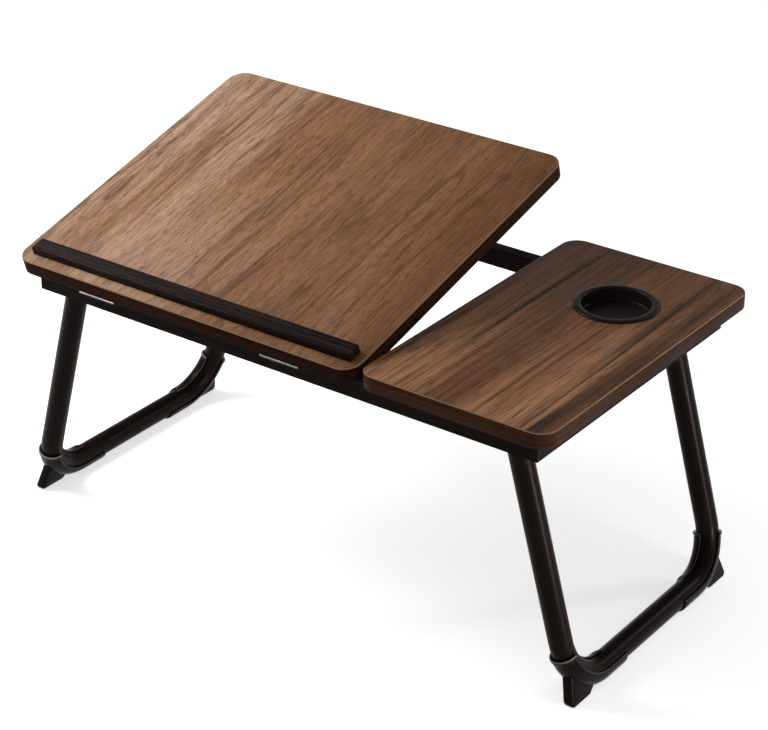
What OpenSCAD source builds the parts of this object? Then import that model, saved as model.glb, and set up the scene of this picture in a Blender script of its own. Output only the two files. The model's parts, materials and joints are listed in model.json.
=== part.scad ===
// Folding laptop table: a board that tilts on two butt hinges beside a fixed
// side board with a cup holder, on a rail frame with two folding tube legs.
// Millimetres. X runs along the table, Y from front to back, Z up from the floor.

/* [Boards] */
// Width of the whole top
top_w = 600; // [570:1:640]
// Depth of both boards
top_d = 350; // [335:1:380]
// Height of the side board's top face above the floor
top_h = 288; // [275:1:320]
// Thickness of both boards
board_t = 15; // [13:0.5:18]
// Width of the fixed side board
side_w = 197.2; // [186:0.1:205]
// Gap between the tilting board and the side board
board_gap = 0.8; // [0.6:0.1:4]
// Corner radius of both boards in plan
corner_r = 18; // [10:0.5:24]
// Thickness of the edge band glued round each board
band_t = 1; // [0.6:0.1:2]
// Angle at which the tilting board is propped
tilt = 14.5; // [6:0.1:26]
// Steepest angle that the prop allows
tilt_max = 30; // [28:0.5:33]

/* [Stop bar] */
// Length of the bar that keeps things from sliding off
bar_len = 378; // [340:1:382]
// Depth of the bar from front to back
bar_w = 16.5; // [14:0.5:22]
// Height of the bar
bar_h = 8; // [6:0.5:12]
// Chamfer along the bar's top edges
bar_chamfer = 1.5; // [0.5:0.1:2.5]
// Distance from the board's front edge to the bar
bar_front = 12.5; // [7:0.5:16]
// Distance from the board's right end to the bar
bar_end = 10.5; // [6:0.5:16]

/* [Cup holder] */
// Outer diameter of the flange
cup_flange_d = 80; // [74:0.5:84]
// Diameter of the well
cup_d = 65; // [58:0.5:66]
// Depth of the well below the board's top face
cup_depth = 11; // [7:0.5:11]
// Wall of the well
cup_wall = 1.6; // [1.2:0.1:2]
// Thickness of the flange
cup_flange_t = 2.4; // [1.8:0.1:3]
// Depth of the seat in the board that takes the flange
cup_seat = 0.4; // [0.3:0.1:0.8]
// Distance from the side board's right end to the cup's centre
cup_from_end = 84.5; // [75:0.5:95]
// Distance from the side board's rear edge to the cup's centre
cup_from_rear = 102.5; // [85:0.5:130]

/* [Frame] */
// Thickness of the rails
rail_t = 12; // [11:0.5:14]
// Height of the long rails
rail_h = 19; // [18:0.5:24]
// Gap between the long rails and the boards
rail_gap = 1; // [0.8:0.1:1.4]
// Setback of the front rail from the boards' front edge
front_inset = 13; // [12:0.5:14]
// Setback of the rear rail from the boards' rear edge
rear_inset = 25.5; // [25.5:0.5:28]
// Setback of the frame's ends from the ends of the top
end_inset = 16.5; // [15:0.5:19]
// Width of the cross boards that carry the legs
leg_board_w = 44; // [42:0.5:48]
// Diameter of the dowels in the frame
dowel_d = 6; // [4:0.5:7]
// Length of a dowel
dowel_len = 24; // [20:1:30]
// Depth of a dowel in a long rail
dowel_bite = 9; // [6:0.5:9.5]

/* [Legs] */
// Outer diameter of the leg tube
tube_d = 22; // [20:0.5:22.5]
// Wall of the leg tube
tube_wall = 1.5; // [1:0.1:2]
// Distance from the boards' front and rear edges to the middles of the uprights
leg_in = 46; // [45.5:0.5:50]
// Bend radius at the middle of the tube
bend_r = 48; // [42:1:56]
// Angle at which the legs stand out
leg_splay = 15.2; // [12:0.1:17]
// Height of the bottom tube's middle above the floor
tube_h = 13.2; // [13.2:0.1:16]
// Distance from the top's left end to the left pivot
left_pivot_in = 31.2; // [30.5:0.1:36]
// Distance from the top's right end to the right pivot
right_pivot_in = 55.4; // [54:0.1:62]
// Diameter of the pivot pins
pivot_d = 8; // [6:0.5:9]
// Length of the cap in the head of an upright
cap_len = 26; // [18:1:36]

/* [Leg brackets] */
// Thickness of the bracket's sheet steel
plate_t = 2; // [1.5:0.1:2.2]
// Length of the bracket's base inward of the pin
base_in = 20; // [17:0.5:21]
// Width of the ears that are screwed up
ear_w = 7; // [6.5:0.1:7]
// Radius of the cheeks round the pin
cheek_r = 9; // [8:0.5:10]
// Gap between the tube's head and the base
head_gap = 1.5; // [1.2:0.1:2.5]
// Gap between the tube and the cheek
cheek_gap = 0.5; // [0.4:0.1:0.8]
// Gap between the standing tube and the stop tab
stop_gap = 0.4; // [0.25:0.05:0.5]
// Length of the stop tab below the pin
tab_len = 9; // [7:0.5:12]
// Width of the stop tab from the cheek
tab_w = 7.5; // [6:0.5:9]

/* [Feet] */
// Wall of the clip round the tube
foot_wall = 1.9; // [1.5:0.1:1.9]
// Fit of the clip on the tube
foot_fit = 0.1; // [0.05:0.01:0.12]
// Angle on the bend where the clip starts
foot_start = 14; // [5:1:25]
// Run of the clip along the bottom tube
foot_run = 29; // [20:1:40]
// Run of the clip's inner lip, from which its end slants
lip_run = 8; // [4:0.5:18]
// Opening of the clip
foot_open = 94; // [80:1:110]
// Extra radius of the rim where the clip starts
rim_extra = 0.9; // [0.4:0.1:0.9]
// Sweep of that rim along the bend
rim_sweep = 3.5; // [2:0.5:6]
// Thickness of the fin that stands on the floor
fin_t = 10; // [8:0.5:12]
// Reach of the fin's top outward of the upright's middle
fin_shoulder = 1.5; // [0.5:0.5:7]
// Height of the fin's top above the bottom tube's middle
fin_rise = 18; // [14:0.5:22]
// Angle at which the fin leans outward
fin_lean = 15; // [8:1:20]
// Distance from the upright's middle inward to the fin's heel
fin_heel = 21; // [12:0.5:24]

/* [Hinges] */
// Length of a hinge
hinge_len = 43; // [38:1:50]
// Diameter of the knuckles
knuckle_d = 2.4; // [2.3:0.1:2.8]
// Diameter of the hinge pin
hinge_pin_d = 1.2; // [1:0.1:1.3]
// Thickness of a leaf
leaf_t = 0.9; // [0.7:0.1:0.9]
// Width of a leaf from the hinge line
leaf_w = 22.5; // [21.5:0.5:23]
// Length of the middle knuckle
mid_knuckle = 17; // [12:0.5:21]
// Setback of the hinge line from the board's front edge
hinge_back = 0.5; // [0.3:0.1:0.8]
// Distance from the top's left end to the left hinge's middle
hinge_left_in = 101; // [90:1:112]
// Distance from the tilting board's right end to the right hinge's middle
hinge_right_in = 83.5; // [60:0.5:88]

/* [Prop] */
// Room between the tracks and the rear rail when the board lies flat
prop_room = 4.5; // [3:0.5:10]
// Share of the prop's reach that lies between the hinge line and its pivot
prop_share = 0.5; // [0.48:0.005:0.52]
// Diameter of the prop's wire
wire_d = 5; // [4:0.5:5]
// Distance between the prop's arms
arm_gap = 130; // [110:1:140]
// Bend radius of the prop's corners
wire_bend = 8; // [5:0.5:12]
// Overhang of the prop's foot past each arm
foot_over = 12; // [10:0.5:14]
// Shift of the prop to the right of the tilting board's middle
prop_shift = -0.5; // [-6:0.5:6]
// Thickness of the board that carries the tracks
support_t = 6; // [5:0.5:6.5]
// Depth of the rebates that hold that board in the rails
rebate = 6; // [5:0.5:7]
// Outer wall of a track
track_wall = 6; // [5:0.5:7]
// Thickness of a track's lips
track_lip = 1.6; // [1.2:0.1:1.7]
// Length of a track past the foot's travel at each end
track_over = 5; // [4:0.5:7]
// End wall of a track
track_end = 2; // [1.5:0.1:2.5]
// Width of a pivot clip
clip_w = 14; // [10:0.5:18]
// Depth of a pivot clip from front to back
clip_d = 24; // [22:0.5:28]
// Height of a pivot clip
clip_h = 9; // [8.5:0.1:9]
// Distance between the middles of the pivot clips
clip_gap = 88; // [70:1:90]

/* [Fasteners and fits] */
// Diameter of the wood screws
screw_d = 3.4; // [3:0.1:4]
// Diameter of their heads
screw_head_d = 6; // [5.5:0.1:6.4]
// Height of their heads
screw_head_h = 2; // [1.6:0.1:2.4]
// Bite of a screw in what holds it
screw_bite = 9; // [7:0.5:9]
// Diameter of the hinge screws
small_screw_d = 2.4; // [2:0.1:2.6]
// Diameter of their countersunk heads
small_head_d = 4.6; // [4:0.1:5]
// Diameter of the rubber bumpers
bumper_d = 8; // [6:0.5:10]
// Depth of a bumper in the rail
bumper_bite = 2; // [1.5:0.1:3]
// Radial clearance of fixed pieces in their holes
fixed_fit = 0.03; // [0.02:0.01:0.05]
// Radial clearance of turning pins
turn_fit = 0.05; // [0.03:0.01:0.08]
// Clearance of the prop's foot below and of parts that pass
pass_gap = 0.3; // [0.25:0.05:0.4]
// Room above the prop's foot in its track
track_room = 0.9; // [0.8:0.05:1]

/* [Hidden] */
$fn = 96;

// Boards
left_x = -top_w / 2;
right_x = top_w / 2;
front_y = -top_d / 2;
rear_y = top_d / 2;
under_z = top_h - board_t;
side_x = right_x - side_w;
tilt_right_x = side_x - board_gap;
tilt_w = tilt_right_x - left_x;
cup_x = right_x - cup_from_end;
cup_y = rear_y - cup_from_rear;
cup_body_r = cup_d / 2 + cup_wall;

// Frame
rail_top = under_z - rail_gap;
rail_bot = rail_top - rail_h;
frame_x0 = left_x + end_inset;
frame_x1 = right_x - end_inset;
front_rail_y = front_y + front_inset;
front_in_y = front_rail_y + rail_t;
rear_rail_y = rear_y - rear_inset;
rear_in_y = rear_rail_y - rail_t;
cross_d = rear_in_y - front_in_y;
dowel_z = rail_bot + rail_h / 2;

// Leg pivots and legs
tube_r = tube_d / 2;
leg_y = top_d / 2 - leg_in;
base_z = rail_bot - plate_t;
pivot_z = base_z - head_gap - tube_r;
left_pivot_x = left_x + left_pivot_in;
right_pivot_x = right_x - right_pivot_in;
function pivot_x(side) = side < 0 ? left_pivot_x : right_pivot_x;
leg_len = (pivot_z - tube_h) / cos(leg_splay);
cheek_y = tube_r + cheek_gap;
tab_from = cheek_y - tab_w;
head_flat = tube_r * 0.68;
head_rise = sqrt(tube_r * tube_r - tab_from * tab_from - head_flat * head_flat);
ear_y = cheek_y + plate_t + ear_w;
ear_screw_y = cheek_y + plate_t + ear_w / 2;
ear_screw_x = -base_in / 2;
pin_head_d = pivot_d * 1.5;
pin_head_t = plate_t * 0.8;
pin_blind = tube_r - 2 * tube_wall;
foot_r = tube_r + foot_fit + foot_wall;
fin_depth = leg_len + 2 * tube_h;
left_board_x = frame_x0 + leg_board_w / 2;
right_board_x = right_pivot_x;
dowel_off = leg_board_w / 2 - dowel_d;

// Hinges
hinge_y = front_y + hinge_back;
hinge_z = rail_top;
hinge_xs = [left_x + hinge_left_in, tilt_right_x - hinge_right_in];
knuckle_r = knuckle_d / 2;
knuckle_room = knuckle_r + pass_gap;
hinge_screw_x = hinge_len * 0.3;
hinge_screw_y = front_rail_y + rail_t / 2;

// Prop: the foot slides along the tracks while the board tilts about the hinge line
wire_r = wire_d / 2;
prop_x = (left_x + tilt_right_x) / 2 + prop_shift;
prop_reach = rear_in_y - hinge_y - prop_room - track_over - wire_r;
prop_pivot = prop_reach * prop_share;
prop_len = prop_reach - prop_pivot;
clip_axis = clip_h / 2;
support_z = rail_bot + support_t;
foot_z = support_z + track_lip + pass_gap + wire_r;
prop_drop = clip_axis - (under_z - hinge_z);
function pivot_y_at(a) = hinge_y + prop_pivot * cos(a) + prop_drop * sin(a);
function pivot_z_at(a) = hinge_z + prop_pivot * sin(a) - prop_drop * cos(a);
function prop_angle_at(a) = asin((pivot_z_at(a) - foot_z) / prop_len);
function foot_y_at(a) = pivot_y_at(a) + prop_len * cos(prop_angle_at(a));
track_h = 2 * track_lip + wire_d + pass_gap + track_room;
track_y0 = foot_y_at(tilt_max) - wire_r - track_over;
track_y1 = foot_y_at(0) + wire_r + track_over;
slot_in = foot_over - wire_r - pass_gap * 4;
track_w = track_wall + slot_in;
foot_half = arm_gap / 2 + foot_over;
slot_end = foot_half + pass_gap * 2;
track_mid = slot_end + track_wall / 2;
support_w = 2 * (slot_end + track_wall + pass_gap * 6);

// The origin lies on the floor below the middle of the standing table's outline
leg_reach = leg_len * sin(leg_splay);
mid_x = (left_pivot_x - leg_reach - foot_r + right_pivot_x + leg_reach + foot_r) / 2;
front_reach = (under_z + board_t - hinge_z) * sin(tilt) + hinge_back * cos(tilt) - hinge_back;
mid_y = -front_reach / 2;

wood = [0.45, 0.31, 0.22];
band = [0.16, 0.11, 0.09];
rail_brown = [0.12, 0.09, 0.08];
black_steel = [0.08, 0.07, 0.07];
black_plastic = [0.06, 0.06, 0.06];
steel = [0.75, 0.75, 0.77];
pale_wood = [0.72, 0.58, 0.42];
rubber = [0.10, 0.10, 0.10];

// Moves the drawing frame, centred on the boards, to the origin
module placed() {
    translate([-mid_x, -mid_y, 0]) children();
}

// Turns what is drawn flat about the hinge line to the propped angle
module tilted() {
    line = [0, hinge_y, hinge_z];
    placed() translate(line) rotate([tilt, 0, 0]) translate(-line) children();
}

// A bar along X, Y or up Z, centred on the given point or starting there
module x_rod(p, r, len) {
    translate(p) rotate([0, 90, 0]) cylinder(r = r, h = len, center = true);
}

module y_rod(p, r, len) {
    translate(p) rotate([90, 0, 0]) cylinder(r = r, h = len, center = true);
}

module z_rod(p, r, len) {
    translate(p) cylinder(r = r, h = len);
}

// A block between two opposite corners
module block(a, b) {
    translate(a) cube(b - a);
}

// A rounded rectangle in plan, drawn in by a margin on every side
module rounded_plan(x0, x1, margin) {
    r = corner_r - margin;
    a = [x0 + margin, front_y + margin];
    b = [x1 - margin, rear_y - margin];
    translate([a.x + r, a.y]) square([b.x - a.x - 2 * r, b.y - a.y]);
    translate([a.x, a.y + r]) square([b.x - a.x, b.y - a.y - 2 * r]);
    for (x = [a.x + r, b.x - r], y = [a.y + r, b.y - r]) translate([x, y]) circle(r);
}

// The core of a board, inside its edge band
module board_core(x0, x1) {
    translate([0, 0, under_z]) linear_extrude(board_t) rounded_plan(x0, x1, band_t);
}

module edge_band(x0, x1) {
    translate([0, 0, under_z]) linear_extrude(board_t) difference() {
        rounded_plan(x0, x1, 0);
        rounded_plan(x0, x1, band_t);
    }
}

// Room for the knuckles along the hinge line
module knuckle_grooves() {
    for (x = hinge_xs) x_rod([x, hinge_y, hinge_z], knuckle_room, hinge_len + 2 * pass_gap);
}

// A wood screw drawn upward from the underside of its head, and the hole that it fills
module screw(p, len) {
    z_rod(p - [0, 0, screw_head_h], screw_head_d / 2, screw_head_h);
    z_rod(p, screw_d / 2, len);
}

module screw_hole(p, len) {
    z_rod(p - [0, 0, fixed_fit], screw_d / 2 + fixed_fit, len + 2 * fixed_fit);
}

module head_hole(p, depth) {
    z_rod(p - [0, 0, depth], screw_head_d / 2 + fixed_fit, depth);
}

// A countersunk screw, drawn upward from its flush head
module small_screw(p, len) {
    translate(p) cylinder(r1 = small_head_d / 2, r2 = small_screw_d / 2, h = leaf_t);
    z_rod(p + [0, 0, leaf_t], small_screw_d / 2, len);
}

module small_screw_hole(p, len) {
    r = small_screw_d / 2 + fixed_fit;
    translate(p) cylinder(r1 = small_head_d / 2 + fixed_fit, r2 = r, h = leaf_t);
    z_rod(p, r, leaf_t + len + fixed_fit);
}

// Where the fasteners stand
bar_right_x = tilt_right_x - bar_end;
bar_y = front_y + bar_front;
bar_screw_len = board_t - screw_head_h + bar_h * 0.6;
bar_hold = min(bar_len, bar_right_x - left_x - band_t);
bar_screws = [for (k = [0.08, 0.5, 0.92])
    [bar_right_x - k * bar_hold, bar_y + bar_w / 2, under_z + screw_head_h]];
clip_xs = [prop_x - clip_gap / 2, prop_x + clip_gap / 2];
clip_screw_y = clip_d / 2 - screw_head_d / 2 - 2 * pass_gap;
clip_screws = [for (x = clip_xs, s = [-1, 1])
    [x, hinge_y + prop_pivot + s * clip_screw_y, under_z - clip_h + screw_head_h]];
clip_screw_len = clip_h - screw_head_h + screw_bite;
board_hinge_screws = [for (x = hinge_xs, s = [-1, 1])
    [x + s * hinge_screw_x, hinge_screw_y, under_z - leaf_t]];
frame_leaf_z = hinge_z - pass_gap - leaf_t;
frame_hinge_screws = [for (x = hinge_xs, s = [-1, 1])
    [x + s * hinge_screw_x, hinge_screw_y, frame_leaf_z + leaf_t]];
side_screw_z = rail_bot + screw_head_h;
side_screw_len = under_z - side_screw_z + screw_bite;
end_rail_x = frame_x1 - rail_t / 2;
side_screws = [for (x = [right_board_x, end_rail_x], k = [0.2, 0.52])
    [x, front_in_y + k * cross_d, side_screw_z]];
support_screws_at = [for (s = [-1, 1], y = [front_in_y - rebate / 2, rear_in_y + rebate / 2])
    [prop_x + s * support_w * 0.3, y, rail_bot]];
support_screw_len = support_t + screw_bite;
track_screws_at = [for (s = [-1, 1], k = [0.25, 0.75])
    [prop_x + s * track_mid, track_y0 + k * (track_y1 - track_y0), rail_bot]];
track_screw_len = support_t + track_h * 0.7;
bumper_xs = [frame_x0 + leg_board_w * 0.7, prop_x + support_w / 2 + bumper_d * 2];
bumper_top = under_z - pass_gap / 3;

module tilt_board() {
    color(wood) tilted() difference() {
        board_core(left_x, tilt_right_x);
        knuckle_grooves();
        for (p = bar_screws) {
            screw_hole(p, bar_screw_len);
            head_hole(p, screw_head_h);
        }
        for (p = clip_screws) screw_hole(p, clip_screw_len);
        for (p = board_hinge_screws)
            z_rod(p, small_screw_d / 2 + fixed_fit, leaf_t + screw_bite + fixed_fit);
    }
}

module tilt_edge_band() {
    color(band) tilted() difference() {
        edge_band(left_x, tilt_right_x);
        knuckle_grooves();
    }
}

module stop_bar() {
    c = bar_chamfer;
    w = bar_w;
    h = bar_h;
    color(black_plastic) tilted() difference() {
        translate([bar_right_x, bar_y, top_h]) rotate([90, 0, -90]) mirror([1, 0, 0])
            linear_extrude(bar_len) polygon([[0, 0], [w, 0], [w, h - c], [w - c, h], [c, h], [0, h - c]]);
        for (p = bar_screws) screw_hole(p, bar_screw_len);
    }
}

module stop_bar_screws() {
    color(steel) tilted() for (p = bar_screws) screw(p, bar_screw_len);
}

// A leaf: a plate behind the hinge line with its knuckles, cut back round the other leaf's
module hinge_leaf(x, z, own, other, fit) {
    difference() {
        union() {
            difference() {
                block([x - hinge_len / 2, hinge_y, z], [x + hinge_len / 2, hinge_y + leaf_w, z + leaf_t]);
                for (k = other) block([x + k[0] - pass_gap, hinge_y - knuckle_room, z - leaf_t],
                    [x + k[1] + pass_gap, hinge_y + knuckle_room, z + 2 * leaf_t]);
            }
            for (k = own) x_rod([x + (k[0] + k[1]) / 2, hinge_y, hinge_z], knuckle_r, k[1] - k[0]);
        }
        x_rod([x, hinge_y, hinge_z], hinge_pin_d / 2 + fit, 2 * hinge_len);
    }
}

mid_span = [[-mid_knuckle / 2, mid_knuckle / 2]];
outer_spans = [[-hinge_len / 2, -mid_knuckle / 2 - pass_gap],
    [mid_knuckle / 2 + pass_gap, hinge_len / 2]];

module hinge_leaf_board(i) {
    color(steel) tilted() difference() {
        hinge_leaf(hinge_xs[i], under_z - leaf_t, mid_span, outer_spans, turn_fit);
        for (p = board_hinge_screws) small_screw_hole(p, screw_bite);
    }
}

module hinge_leaf_board_left() {
    hinge_leaf_board(0);
}

module hinge_leaf_board_right() {
    hinge_leaf_board(1);
}

module hinge_board_screws() {
    color(steel) tilted() for (p = board_hinge_screws) small_screw(p, screw_bite);
}

module hinge_leaf_frame(i) {
    color(steel) placed() difference() {
        hinge_leaf(hinge_xs[i], frame_leaf_z, outer_spans, mid_span, fixed_fit);
        for (p = frame_hinge_screws)
            translate(p) mirror([0, 0, 1]) small_screw_hole([0, 0, 0], screw_bite);
    }
}

module hinge_leaf_frame_left() {
    hinge_leaf_frame(0);
}

module hinge_leaf_frame_right() {
    hinge_leaf_frame(1);
}

module hinge_frame_screws() {
    color(steel) placed() for (p = frame_hinge_screws)
        translate(p) mirror([0, 0, 1]) small_screw([0, 0, 0], screw_bite);
}

module hinge_pin(i) {
    color(steel) placed() x_rod([hinge_xs[i], hinge_y, hinge_z], hinge_pin_d / 2, hinge_len);
}

module hinge_pin_left() {
    hinge_pin(0);
}

module hinge_pin_right() {
    hinge_pin(1);
}

// A saddle under the board that holds the prop's pivot
module prop_clip(i) {
    x = clip_xs[i];
    y = hinge_y + prop_pivot;
    color(black_plastic) tilted() difference() {
        union() {
            block([x - clip_w / 2, y - clip_axis, under_z - clip_h],
                [x + clip_w / 2, y + clip_axis, under_z]);
            block([x - clip_w / 2, y - clip_d / 2, under_z - clip_h + screw_head_h],
                [x + clip_w / 2, y + clip_d / 2, under_z]);
        }
        x_rod([x, y, under_z - clip_axis], wire_r + turn_fit, 2 * clip_w);
        for (p = clip_screws) screw_hole(p, clip_screw_len);
    }
}

module prop_clip_left() {
    prop_clip(0);
}

module prop_clip_right() {
    prop_clip(1);
}

module prop_clip_screws() {
    color(steel) tilted() for (p = clip_screws) screw(p, clip_screw_len);
}

// One bent wire: a pivot rod, two arms and a foot that runs past them into the tracks
module prop_wire() {
    half = arm_gap / 2;
    color(black_steel) placed()
        translate([prop_x, pivot_y_at(tilt), pivot_z_at(tilt)]) rotate([-prop_angle_at(tilt), 0, 0]) {
            x_rod([0, 0, 0], wire_r, arm_gap - 2 * wire_bend);
            x_rod([0, prop_len, 0], wire_r, 2 * foot_half);
            for (s = [0, 1]) mirror([s, 0, 0]) {
                translate([half - wire_bend, wire_bend, 0]) rotate([0, 0, -90])
                    rotate_extrude(angle = 90) translate([wire_bend, 0]) circle(wire_r);
                y_rod([half, (wire_bend + prop_len) / 2, 0], wire_r, prop_len - wire_bend);
            }
        }
}

module side_board() {
    color(wood) placed() difference() {
        board_core(side_x, right_x);
        z_rod([cup_x, cup_y, under_z - pass_gap], cup_body_r + pass_gap, board_t + 2 * pass_gap);
        z_rod([cup_x, cup_y, top_h - cup_seat], cup_flange_d / 2 + pass_gap, cup_seat + pass_gap);
        for (p = side_screws) screw_hole(p, side_screw_len);
    }
}

module side_edge_band() {
    color(band) placed() edge_band(side_x, right_x);
}

// A revolved well with a rounded flange
module cup_holder() {
    r = cup_d / 2;
    f = cup_flange_d / 2;
    t = cup_flange_t;
    low = cup_seat - cup_depth;
    color(black_plastic) placed() translate([cup_x, cup_y, top_h - cup_seat]) rotate_extrude()
        polygon([[0, low], [r, low], [r, t * 0.7], [r + t * 0.3, t], [f - t, t], [f, t * 0.3],
            [f, 0], [cup_body_r, 0], [cup_body_r, low - cup_wall], [0, low - cup_wall]]);
}

// A long rail with its dowel holes, bracket screw holes and support rebate
module long_rail(y, inner_y) {
    inward = sign(inner_y - y);
    half = support_w / 2 + pass_gap;
    y0 = inner_y - (inward + 1) / 2 * rebate;
    difference() {
        block([frame_x0, min(y, inner_y), rail_bot], [frame_x1, max(y, inner_y), rail_top]);
        for (p = dowel_points()) if (sign(p.y) == -inward)
            y_rod(p, dowel_d / 2 + fixed_fit, 2 * (dowel_bite + fixed_fit));
        block([prop_x - half, y0, rail_bot - pass_gap],
            [prop_x + half, y0 + rebate, support_z + fixed_fit]);
        for (p = support_screws_at) screw_hole(p, support_screw_len);
        for (p = bracket_screw_points()) screw_hole(p, plate_t + screw_bite);
    }
}

// Dowel middles on the joint faces between the long rails and the cross pieces
function dowel_points() = [for (y = [front_in_y, rear_in_y],
    x = [left_board_x - dowel_off, left_board_x + dowel_off, right_board_x - dowel_off,
        right_board_x + dowel_off, end_rail_x]) [x, y, dowel_z]];

// Screws through the bracket ears, from the ears' undersides up
function bracket_screw_points() = [for (side = [-1, 1], end = [-1, 1], ear = [-1, 1])
    [pivot_x(side) + side * ear_screw_x, end * leg_y + ear * ear_screw_y, base_z]];

module front_rail() {
    color(rail_brown) placed() difference() {
        long_rail(front_rail_y, front_in_y);
        for (x = hinge_xs) block([x - hinge_len / 2 - pass_gap, front_rail_y - pass_gap, frame_leaf_z],
            [x + hinge_len / 2 + pass_gap, hinge_y + leaf_w + pass_gap, rail_top + pass_gap]);
        for (p = frame_hinge_screws)
            translate(p) mirror([0, 0, 1]) small_screw_hole([0, 0, 0], screw_bite);
    }
}

module rear_rail() {
    color(rail_brown) placed() difference() {
        long_rail(rear_rail_y, rear_in_y);
        for (x = bumper_xs) z_rod([x, rear_in_y + rail_t / 2, rail_top - bumper_bite],
            bumper_d / 2 + fixed_fit, bumper_bite + pass_gap);
    }
}

// A cross piece between the long rails, with its dowel and screw holes
module cross_piece(x, w, top) {
    difference() {
        block([x - w / 2, front_in_y, rail_bot], [x + w / 2, rear_in_y, top]);
        for (p = dowel_points())
            y_rod(p, dowel_d / 2 + fixed_fit, 2 * (dowel_len - dowel_bite + fixed_fit));
        for (p = bracket_screw_points()) screw_hole(p, plate_t + screw_bite);
        for (p = side_screws) {
            screw_hole(p, side_screw_len);
            head_hole(p, 2 * screw_head_h);
        }
    }
}

module end_rail() {
    color(rail_brown) placed() cross_piece(end_rail_x, rail_t, under_z);
}

module left_leg_board() {
    color(rail_brown) placed() cross_piece(left_board_x, leg_board_w, rail_top);
}

module right_leg_board() {
    color(rail_brown) placed() cross_piece(right_board_x, leg_board_w, under_z);
}

module dowels() {
    shift = dowel_len / 2 - dowel_bite;
    color(pale_wood) placed() for (p = dowel_points())
        y_rod(p - [0, sign(p.y) * shift, 0], dowel_d / 2, dowel_len);
}

module side_board_screws() {
    color(steel) placed() for (p = side_screws) screw(p, side_screw_len);
}

module bumpers() {
    low = rail_top - bumper_bite;
    color(rubber) placed() for (x = bumper_xs)
        z_rod([x, rear_in_y + rail_t / 2, low], bumper_d / 2, bumper_top - low);
}

module support_board() {
    color(pale_wood) placed() difference() {
        block([prop_x - support_w / 2, front_in_y - rebate, rail_bot],
            [prop_x + support_w / 2, rear_in_y + rebate, support_z]);
        for (p = support_screws_at) screw_hole(p, support_screw_len);
        for (p = track_screws_at) screw_hole(p, track_screw_len);
    }
}

module support_screws() {
    color(steel) placed() for (p = support_screws_at) screw(p, support_screw_len);
}

// A channel that takes one end of the prop's foot, on the given side of the prop
module track(side) {
    color(black_plastic) placed() difference() {
        translate([prop_x, 0, support_z]) mirror([side < 0 ? 1 : 0, 0, 0]) difference() {
            block([slot_end - slot_in, track_y0, 0], [slot_end + track_wall, track_y1, track_h]);
            block([slot_end - slot_in - pass_gap, track_y0 + track_end, track_lip],
                [slot_end, track_y1 - track_end, track_h - track_lip]);
        }
        for (p = track_screws_at) screw_hole(p, track_screw_len);
    }
}

module track_left() {
    track(-1);
}

module track_right() {
    track(1);
}

module track_screws() {
    color(steel) placed() for (p = track_screws_at) screw(p, track_screw_len);
}

// A point beside the standing leg's axis: d outward of it and t below the pin
function beside_leg(d, t) =
    [d * cos(leg_splay) + t * sin(leg_splay), d * sin(leg_splay) - t * cos(leg_splay)];
function tab_top(d) = (d * sin(leg_splay) - (base_z - pivot_z)) / cos(leg_splay);

// A bent sheet bracket: a base with ears, a cheek on the leg's inner side and a stop tab outward
module bracket(side, end) {
    d0 = sqrt(tube_r * tube_r - tab_from * tab_from) + stop_gap;
    d1 = d0 + plate_t;
    rise = base_z - pivot_z;
    tab = [beside_leg(d0, tab_top(d0)), beside_leg(d1, tab_top(d1)),
        beside_leg(d1, tab_len), beside_leg(d0, tab_len)];
    base_out = tab[1].x;
    color(black_steel) placed() translate([pivot_x(side), end * leg_y, pivot_z])
        mirror([side < 0 ? 1 : 0, 0, 0]) mirror([0, end > 0 ? 1 : 0, 0]) difference() {
            union() {
                block([-base_in, -ear_y, rise], [base_out, ear_y, rise + plate_t]);
                translate([0, cheek_y, 0]) rotate([90, 0, 0]) linear_extrude(tab_w) polygon(tab);
                translate([0, cheek_y + plate_t, 0]) rotate([90, 0, 0]) linear_extrude(plate_t) {
                    circle(cheek_r);
                    polygon([[-base_in * 0.75, rise], [-cheek_r, 0], [cheek_r, 0], [base_out, rise]]);
                    polygon([tab[1], tab[2], [cheek_r * 0.6, -cheek_r * 0.6], [0, 0]]);
                }
            }
            y_rod([0, cheek_y, 0], pivot_d / 2 + fixed_fit, 4 * plate_t);
            for (s = [-1, 1]) screw_hole([ear_screw_x, s * ear_screw_y, rise], plate_t);
        }
}

module bracket_left_front() {
    bracket(-1, -1);
}

module bracket_left_rear() {
    bracket(-1, 1);
}

module bracket_right_front() {
    bracket(1, -1);
}

module bracket_right_rear() {
    bracket(1, 1);
}

module bracket_screws() {
    color(steel) placed() for (p = bracket_screw_points()) screw(p, plate_t + screw_bite);
}

// Headed pins from the cheeks' inner sides, blind inside the tube
module pivot_pins(side) {
    inner = cheek_y + plate_t;
    color(black_steel) placed() for (end = [0, 1]) mirror([0, end, 0])
        translate([pivot_x(side), -leg_y, pivot_z]) {
            y_rod([0, (inner - pin_blind) / 2, 0], pivot_d / 2, inner + pin_blind);
            y_rod([0, inner + pin_head_t / 2, 0], pin_head_d / 2, pin_head_t);
        }
}

// The blind holes that take them, in the leg's own frame
module pin_holes() {
    for (end = [0, 1]) mirror([0, end, 0])
        y_rod([0, (tube_r - pin_blind) / 2 - leg_y, 0], pivot_d / 2 + turn_fit,
            tube_r + pin_blind + 2 * pass_gap);
}

module pivot_pins_left() {
    pivot_pins(-1);
}

module pivot_pins_right() {
    pivot_pins(1);
}

// Stands a leg drawn straight down from its pivot at its splay
module standing(side) {
    placed() translate([pivot_x(side), 0, pivot_z]) rotate([0, -side * leg_splay, 0])
        children();
}

// The rear bend's own frame: its sweep starts at the upright and ends on the bottom tube
module at_bend() {
    translate([0, leg_y - bend_r, bend_r - leg_len]) rotate([-90, 0, 90]) children();
}

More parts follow.
